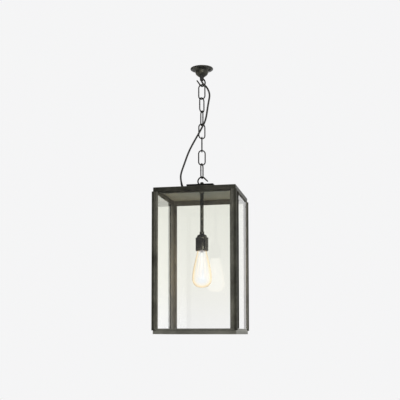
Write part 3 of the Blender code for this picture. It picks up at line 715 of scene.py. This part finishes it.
def hook(node, body, z_boss, up, degrees, shank):
    """A forged hook; up is 1 if its wire stands above the boss and -1 if it hangs."""
    line = [(-4.0, -8.4), (-8.0, -7.4), (-11.6, -4.0), (-13.6, 1.6), (-12.7, 7.6),
            (-9.0, 12.9), (-4.2, 16.0), (0.0, 16.85), (4.4, 15.4), (8.6, 12.2),
            (14.6, 6.2), (20.6, 0.8)]
    path = smooth_run(turned([(u * up, 0, z_boss + v * up) for u, v in line], degrees), 1.3)
    radii = [HOOK_WIRE * MM] * len(path)
    radii[-8:-4] = [2.3 * MM, 2.24 * MM, 2.18 * MM, 2.12 * MM]
    radii[-4:] = [2.06 * MM, 1.98 * MM, 1.75 * MM, 1.1 * MM]
    bm = bmesh.new()
    tube(bm, [p * MM for p in path], radii, 18)
    foot, end = -BOSS, -BOSS - shank
    profile = [(0, 0), (1.8, -0.1), (3.4, -0.5), (4.6, -1.2), (5.4, -2.2), (6.0, -3.4),
               (6.3, -4.6), (6.5, -7.6), (6.5, foot + 1.0), (5.9, foot + 0.3), (3.0, foot + 0.3)]
    z = foot - 0.2
    while z > end + 1.4:
        profile += [(2.95, z), (2.55, z - 0.5)]
        z -= 1.0
    profile += [(2.4, end), (0, end)]
    lathe([(r, z_boss + v * up) for r, v in profile], 48, bm=bm)
    settle(bm, node + "_forging", body, forged_bronze, node)


hook("upper_hook", "ceiling_mount", PLATE_FOOT - BOSS, -1, 47.0, 23.0)
hook("lower_hook", "lantern", CAP_TOP + BOSS, 1, -5.0, 5.0)
print("two hooks")

# %% [markdown]
# ## Ceiling plate
# The plate is a spun bronze bell: a thin dished flange with holes for two screws, then a
# step into the neck that the hook comes out of. Countersinks, the shank's bore and the
# cord's hole are cut after spinning, with short turned cutters.

# %% Ceiling plate
SCREW_X = 25.0                               # each screw hole from the middle


def cutter(profile, x=0.0, y=0.0):
    """A turned solid that stands at x, y."""
    return lathe(profile, 40, matrix=Matrix.Translation((x * MM, y * MM, 0)))


def rod(radius, z0, z1, x=0.0, y=0.0):
    """A plain round cutter from z0 up to z1."""
    return cutter([(0, z1), (radius, z1), (radius, z0), (0, z0)], x, y)


bell = lathe([(0, -12), (0, PLATE_FOOT), (6.6, PLATE_FOOT), (7.4, -29.7), (8.4, -28.6),
              (9.3, -27.6), (10.6, -26.8), (13.0, -25.4), (15.2, -23.6), (17.6, -21.4),
              (19.4, -19.0), (20.6, -16.6), (21.2, -14.0), (21.5, -11.0), (21.8, -9.0),
              (22.3, -7.9), (23.2, -7.2), (26.5, -6.3), (30.0, -5.4), (33.4, -4.6), (36.0, -3.9),
              (37.0, -3.3), (37.4, -2.5), (37.4, -0.7), (37.1, -0.2), (36.5, 0), (18.6, 0),
              (18.2, -9.0), (17.0, -12)], 96)
plate = settle(bell, "ceiling_plate_bell", "ceiling_mount", plate_bronze, "ceiling_plate")
countersink = [(0, 1), (2.6, 1), (2.6, -3.0), (4.9, -5.2), (4.9, -9), (0, -9)]
carve(plate, cutter(countersink, -SCREW_X), cutter(countersink, SCREW_X), rod(3.3, -35, -5),
      rod(3.3, -40, -5, 1.0, -11.6))
print("ceiling plate")

# %% [markdown]
# ## Cap, gland and flex
# The cap is a folded tray turned upside down over the joint in the roof. A cube loses its
# bottom, its corners are bevelled and solidify gives the sheet its thickness. The cord
# goes in through a rubber gland whose ribbed sleeve tapers off along it, and comes out of
# the ceiling plate through a grommet. Inside, a light flex runs on down the stem.

# %% Cap
SHEET = 2.0
lo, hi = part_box("cap_cover")
bm = bmesh.new()
bmesh.ops.create_cube(bm, size=1.0)
bmesh.ops.scale(bm, verts=bm.verts[:], vec=hi - lo)
bmesh.ops.translate(bm, verts=bm.verts[:], vec=(lo + hi) / 2)
bmesh.ops.delete(bm, geom=[f for f in bm.faces if f.normal.z < -0.5], context="FACES_ONLY")
ease(bm, 1.0, 30, 4)
bmesh.ops.recalc_face_normals(bm, faces=bm.faces)
bmesh.ops.solidify(bm, geom=bm.faces[:], thickness=SHEET * MM)
cap = settle(bm, "cap_tray", "lantern", cap_bronze, "cap_cover", sharp=50, even=True)
print("cap measures", [round(v / MM, 1) for v in hi - lo])

# %% Gland, grommet and flex
SLEEVE_END, SLEEVE_BORE = 30.0, 3.25         # how far out the sleeve reaches, and its hole
FLEX_BEND = 7.5
FLEX_R = 1.6
side_on = Matrix.Translation((CAP_SIDE * MM, 0, GLAND_Z * MM)) @ Matrix.Rotation(pi / 2, 4, "Y")
bm = lathe([(SLEEVE_BORE, -6.0), (5.2, -6.0), (5.7, -5.7), (6.0, -5.2), (6.0, -0.3), (4.3, -0.3),
            (4.3, 2.3), (5.6, 2.5), (5.2, 5.0), (SLEEVE_BORE, 5.0)], 48, matrix=side_on)
late = [p for p in cord_line if (CAP_SIDE - SLEEVE_END) * MM < p.x < (CAP_SIDE - 4) * MM
        and p.z < GLAND_Z * MM + 0.022]
ribs = [0.25 if i % 2 else 0 for i in range(len(late))]
grow = [(SLEEVE_BORE + 1.9 * (i / (len(late) - 1)) ** 1.2 + rib) * MM
        for i, rib in enumerate(ribs)]
tube(bm, late, grow, 24)
gland = settle(bm, "cord_gland_sleeve", "lantern", rubber, "cord_gland")
early = [p for p in cord_line if -0.046 < p.z < -0.024]
bm = bmesh.new()
tube(bm, early, [(4.6 - 1.3 * i / (len(early) - 1)) * MM for i in range(len(early))], 24)
grommet = settle(bm, "ceiling_grommet", "ceiling_mount", rubber)
z_top, z_dome, z_ring = high("lampholder_dome"), high("lampholder_ring"), high("lampholder_skirt")
z_open, cap_low = low("lampholder_skirt"), low("bulb_cap")
cap_high = cap_low + 22.0
flex = [(CAP_SIDE + 8.3, 0, GLAND_Z), (-30, 0, GLAND_Z), (-15, 0, GLAND_Z),
        (-FLEX_BEND, 0, GLAND_Z)]
flex += [(-FLEX_BEND + FLEX_BEND * sin(a), 0, GLAND_Z - FLEX_BEND + FLEX_BEND * cos(a))
         for a in (0.5, 1.05)]
flex += [(0, 0, GLAND_Z - 12), (0, 0, GLAND_Z - 60), (0, 0, z_top + 20), (0, 0, z_top - 1),
         (-1.2, 0, z_top - 4.5), (-3.8, 0, z_dome + 3.6), (-5.0, 0, z_dome + 1.0),
         (-5.0, 0, z_ring - 4.0)]
bm = bmesh.new()
tube(bm, [p * MM for p in smooth_run(flex, 4.0)], FLEX_R * MM, 14)
settle(bm, "inner_flex_cotton", "lantern", flex_cotton, "inner_flex", sharp=60)
print("gland sleeve over", len(late), "points")

# %% [markdown]
# ## Stem and lampholder
# The stem is a tube from the roof to the lampholder, with a flared collar under the roof
# and a locknut above the holder. The holder is three spun shells: dome, ring and skirt,
# around a ceramic core with a brass thread.

# %% Stem
roof_under = high("stem_collar") + 0.3
STEM_R, STEM_BORE = 5.7, 4.2
ROUND_STEM = 6.0                             # the hole in the parts that the stem passes
shell_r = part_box("lampholder_skirt")[1].x / MM
turned_parts = {
    "stem_tube": [
        (STEM_BORE, high("stem_tube")), (STEM_R, high("stem_tube")), (STEM_R, low("stem_tube")),
        (STEM_BORE, low("stem_tube"))],
    "stem_collar": [
        (ROUND_STEM, roof_under - 0.3), (9.2, roof_under - 0.3), (9.4, roof_under - 0.6),
        (9.2, roof_under - 1.5), (8.4, roof_under - 2.6), (7.5, roof_under - 4.2),
        (6.9, roof_under - 6.0), (6.5, roof_under - 7.0), (ROUND_STEM, roof_under - 7.0)],
    "stem_locknut": [
        (ROUND_STEM, z_top + 0.3), (6.9, z_top + 0.3), (7.4, z_top + 0.8), (7.9, z_top + 1.7),
        (7.9, z_top + 3.4), (7.5, z_top + 3.8), (7.5, z_top + 4.6), (7.9, z_top + 5.0),
        (7.9, z_top + 7.2), (7.5, z_top + 8.4), (6.8, z_top + 9.4), (ROUND_STEM, z_top + 9.4)],
    "lampholder_dome": [
        (ROUND_STEM, z_top), (8.6, z_top), (10.9, z_top - 0.4), (12.8, z_top - 1.1),
        (14.2, z_top - 2.2), (15.2, z_top - 3.6), (15.9, z_top - 5.2), (16.5, z_top - 7.2),
        (17.4, z_dome + 1.6), (18.0, z_dome + 0.8), (18.6, z_dome + 0.3), (15.6, z_dome + 0.3),
        (15.0, z_dome + 2.6), (13.6, z_top - 4.6), (11.6, z_top - 2.8),
        (ROUND_STEM, z_top - 2.0)],
    "lampholder_ring": [
        (17.4, z_dome), (shell_r - 0.2, z_dome), (shell_r + 0.4, z_dome - 0.3),
        (shell_r + 0.6, z_dome - 0.9), (shell_r + 0.6, z_ring + 1.3),
        (shell_r + 0.4, z_ring + 0.7), (shell_r, z_ring + 0.3), (17.4, z_ring + 0.3)],
    "lampholder_skirt": [
        (17.6, z_ring), (shell_r - 0.2, z_ring), (shell_r, z_ring - 0.4), (shell_r, z_open + 2.6),
        (shell_r - 0.15, z_open + 1.0), (shell_r - 0.5, z_open + 0.2), (shell_r - 1.0, z_open),
        (shell_r - 1.7, z_open), (shell_r - 1.7, z_ring - 2.0), (17.0, z_ring - 1.6),
        (17.0, z_ring)],
}
for node, profile in turned_parts.items():
    piece = settle(lathe(profile, 80), node + "_turned", "lantern", holder_bronze, node, sharp=34)
print("stem and shells turned")

# %% Holder's inside
core = settle(lathe([
    (0, z_dome + 1.2), (12.6, z_dome + 1.2), (16.2, z_dome - 0.2), (16.7, z_dome - 0.8),
    (16.7, z_ring - 11.6), (16.3, z_ring - 12.0), (14.9, z_ring - 12.0), (14.9, cap_high + 4.4),
    (0, cap_high + 4.4)], 64, eased=0.3), "lampholder_core", "lantern", ceramic,
    "lampholder_insert")
carve(core, rod(2.0, z_ring - 40, z_dome + 9, -5.0), rod(1.6, z_ring - 40, z_dome + 9))
shell, z = [], cap_low + 4.0
while z < cap_high + 2.4:
    shell += [(14.6, z), (14.6, z + 0.6), (14.2, z + 1.4), (14.2, z + 2.0)]
    z += 3.6
shell.append((14.6, cap_high + 4.1))
shell += [(r - 0.5, z) for r, z in shell[::-1]]
thread = settle(lathe(shell, 72), "screw_shell", "lantern", brass, "lampholder_screw_shell")
bm = lathe([(0, cap_high + 12.0), (1.3, cap_high + 12.0), (1.3, cap_high + 4.1),
            (4.3, cap_high + 4.1), (4.6, cap_high + 3.8), (4.4, cap_high + 3.2),
            (0, cap_high + 2.7)], 40)
settle(bm, "centre_contact", "lantern", brass, "lampholder_contact")
print("core, thread and contact")

# %% [markdown]
# ## Lamp
# The bulb is a glass pear spun with both its walls, on a brass cap with a rolled thread.
# A glass mount inside carries the filament, which runs up and down in a cage.

# %% Lamp
lamp_low = low("bulb_glass")
WALL = 1.0
NECK = 11.9
outline = [(0, 0), (4.0, 0.1), (8.0, 0.5), (12.0, 1.3), (15.6, 2.4), (19.0, 4.0), (22.0, 6.0),
           (24.8, 8.5), (27.0, 11.4), (29.0, 14.9), (30.4, 18.6), (31.3, 22.2), (31.8, 26.0),
           (32.0, 33.0), (31.8, 38.0), (31.4, 43.0), (30.8, 49.0), (29.9, 55.0), (28.8, 61.5),
           (27.5, 68.0), (26.1, 74.5), (24.6, 81.0), (23.0, 87.5), (21.4, 94.0), (19.8, 100.2),
           (18.4, 106.0), (17.2, 110.8), (16.2, 115.0), (14.9, 121.0)]


def wall_rise(radius):
    """How far the inner wall lies above the outer one."""
    return WALL if radius < 20 else 0.8 if radius < 28 else 0.0


outer = [(r, lamp_low + h) for r, h in outline]
outer += [(12.2, cap_low - 1.0), (NECK, cap_low - 0.3), (NECK, cap_low + 6.0)]
inner = [(max(r - WALL, 0), lamp_low + h + wall_rise(r)) for r, h in outline]
inner += [(11.2, cap_low - 0.4), (10.7, cap_low + 1.0), (10.7, cap_low + 6.0)]
glass = settle(lathe(outer + inner[::-1], 80), "bulb_pear", "lamp", bulb.material, "bulb_glass",
               sharp=60)
screw, z = [(12.2, cap_low)], cap_low + 0.4
while z < cap_low + 17.0:
    screw += [(12.7, z), (13.2, z + 0.9), (13.2, z + 1.7), (12.7, z + 2.6)]
    z += 3.3
screw += [(12.4, cap_low + 18.2), (10.4, cap_high - 1.6), (5.6, cap_high - 0.4),
          (5.6, cap_high - 1.4), (10.0, cap_high - 2.6), (12.2, cap_low + 17.0)]
settle(lathe(screw, 72), "bulb_screw", "lamp", brass, "bulb_cap")
bm = lathe([(0, cap_high + 2.2), (1.4, cap_high + 2.1), (2.2, cap_high + 1.9),
            (3.4, cap_high + 1.5), (4.4, cap_high + 0.9), (5.0, cap_high + 0.1),
            (5.2, cap_high - 0.6), (5.2, cap_high - 3.0), (0, cap_high - 3.0)], 40)
settle(bm, "bulb_insulator", "lamp", ceramic, "bulb_contact")
bm = lathe([(0, cap_low + 4.0), (10.2, cap_low + 5.0), (10.2, cap_low + 3.0),
            (8.6, cap_low - 0.6), (6.4, cap_low - 5.0), (4.6, cap_low - 10.0),
            (3.6, cap_low - 15.0), (2.9, cap_low - 21.0), (2.6, cap_low - 28.0),
            (2.4, cap_low - 62.0), (3.0, cap_low - 63.0), (3.4, cap_low - 64.0),
            (2.6, cap_low - 65.2), (0, cap_low - 65.6)], 40)
settle(bm, "lamp_mount", "lamp", mount_glass_glow.material, "bulb_mount", sharp=60)

# %% Cage filament
TURNS = 11                                   # bends of the cage, high and low in turn
FILAMENT_R = 0.42
line = [Vector((3.8, 1.0, cap_low - 19.6)), Vector((5.6, 1.3, cap_low - 22.0))]
for k in range(TURNS):
    a = 2 * pi * k / TURNS + 0.2
    raised = k % 2 == 0
    r, z = (8.6, cap_low - 24.0) if raised else (17.0, cap_low - 92.0)
    line.append(Vector((r * cos(a), r * sin(a), z)))
    if k < TURNS - 1:
        over = a + pi / (2 * TURNS)
        line.append(Vector((r * cos(over), r * sin(over), z + (1.6 if raised else -1.6))))
bm = bmesh.new()
tube(bm, [p * MM for p in line], FILAMENT_R * MM, 8)
settle(bm, "cage_filament", "lamp", hot.material, "filament", sharp=80)
print("lamp made")

# %% [markdown]
# ## Studio
# The lantern hangs in front of a pale, seamless background over a pale floor. Three wide
# soft lamps and an even sky light it. The camera and clear glass see the background
# itself. Mirrors see it too, but overhead it falls away to the dimmer studio ceiling, it
# darkens to the left, and one bright strip stands to the right behind the viewer: that
# gives dark metal and panes their shape.

# %% Floor
PALE = (0.913, 0.913, 0.918)
FLOOR_Z, FLOOR_R = -1.55, 4.5
floor_look = Finish("pale_floor", Base_Color=(0.82, 0.82, 0.825, 1), Roughness=0.7)
seen = floor_look.node("LightPath", out=0)
flat_pale = floor_look.node("Emission", Color=(*PALE, 1), Strength=1.0)
lit_floor = Sock(floor_look, floor_look.surface.outputs[0])
floor_look.show(floor_look.blend(seen * 0.8, lit_floor, flat_pale))
bm = bmesh.new()
bmesh.ops.create_circle(bm, cap_ends=True, segments=96, radius=FLOOR_R,
                        matrix=Matrix.Translation((0, 0, FLOOR_Z)))
floor = settle(bm, "pale_floor", None, floor_look.material)

# %% Sky
STRIP_X, STRIP_Y = 0.454, -0.891             # heading of the bright strip
world = bpy.data.worlds.new("studio")
bpy.context.scene.world = world
world.use_nodes = True
world.node_tree.nodes.clear()
sky = Nodes(world.node_tree)
camera_ray, glossy_ray, clear_ray = (sky.node("LightPath", out=k) for k in (0, 3, 6))
bounces = Sock(sky, camera_ray.socket.node.outputs["Glossy Depth"])
heading = sky.node("TexCoord", out=0)
x, y, z = (sky.node("SeparateXYZ", out=k, Vector=heading) for k in range(3))


def ramp(value, start, end, low=0.0, high=1.0):
    """Goes smoothly from low, where value is at start, to high at end."""
    return sky.node("MapRange", {"interpolation_type": "SMOOTHSTEP"}, Value=value,
                    From_Min=start, From_Max=end, To_Min=low, To_Max=high)


ahead = ramp(x * 0.9 + y, 0.35, -0.3)
overhead = ramp(z * ahead, 0.0, 0.26, 1.0, 0.22)
left_to_right = ramp(x, -0.8, 0.6, 0.3, 1.3)
strip = ramp(x * STRIP_X + y * STRIP_Y, 0.955, 0.99)
mirrored = overhead * (1 + ahead * (left_to_right - 1)) + strip * 3.0
room = sky.node("Background", Color=(0.93, 0.94, 0.95, 1), Strength=0.55)
mirror = sky.node("Background", Color=(*PALE, 1), Strength=mirrored)
backdrop = sky.node("Background", Color=(*PALE, 1), Strength=1.0)
lit_sky = sky.blend(glossy_ray.sum("MAXIMUM", glossy_ray, bounces), room, mirror)
straight = camera_ray.sum("MAXIMUM", camera_ray, clear_ray - bounces)
sky.node("OutputWorld", Surface=sky.blend(straight, lit_sky, backdrop))


# %% Lamps of the studio
def softbox(name, place, aim, size, watts):
    """A square lamp that lights the lantern but isn't seen in mirrors or through glass."""
    light = bpy.data.lights.new(name, "AREA")
    light.shape, light.size, light.energy = "SQUARE", size, watts
    box = bpy.data.objects.new(name, light)
    box.location = place
    box.rotation_euler = (Vector(aim) - Vector(place)).to_track_quat("-Z", "Y").to_euler()
    box.visible_glossy = box.visible_transmission = False
    bpy.context.scene.collection.objects.link(box)


softbox("key_softbox", (-1.9, -2.0, 0.6), (0, 0, -0.6), 1.5, 26)
softbox("fill_softbox", (2.3, -1.2, -0.4), (0, 0, -0.6), 1.6, 14)
softbox("rear_softbox", (0.9, 2.4, 0.5), (0, 0, -0.5), 1.3, 14)
# the lit lamp's own light; its glow is painted on the bulb, so this stays unseen as well
bulb_light = bpy.data.lights.new("lamp_light", "POINT")
bulb_light.energy, bulb_light.color, bulb_light.shadow_soft_size = 1.5, (1.0, 0.78, 0.5), 0.02
lit = bpy.data.objects.new("lamp_light", bulb_light)
lit.location = (0, 0, (cap_low - 60) * MM)
lit.visible_glossy = lit.visible_transmission = False
bpy.context.scene.collection.objects.link(lit)
bpy.context.scene.view_settings.view_transform = "Standard"
print("studio lit")
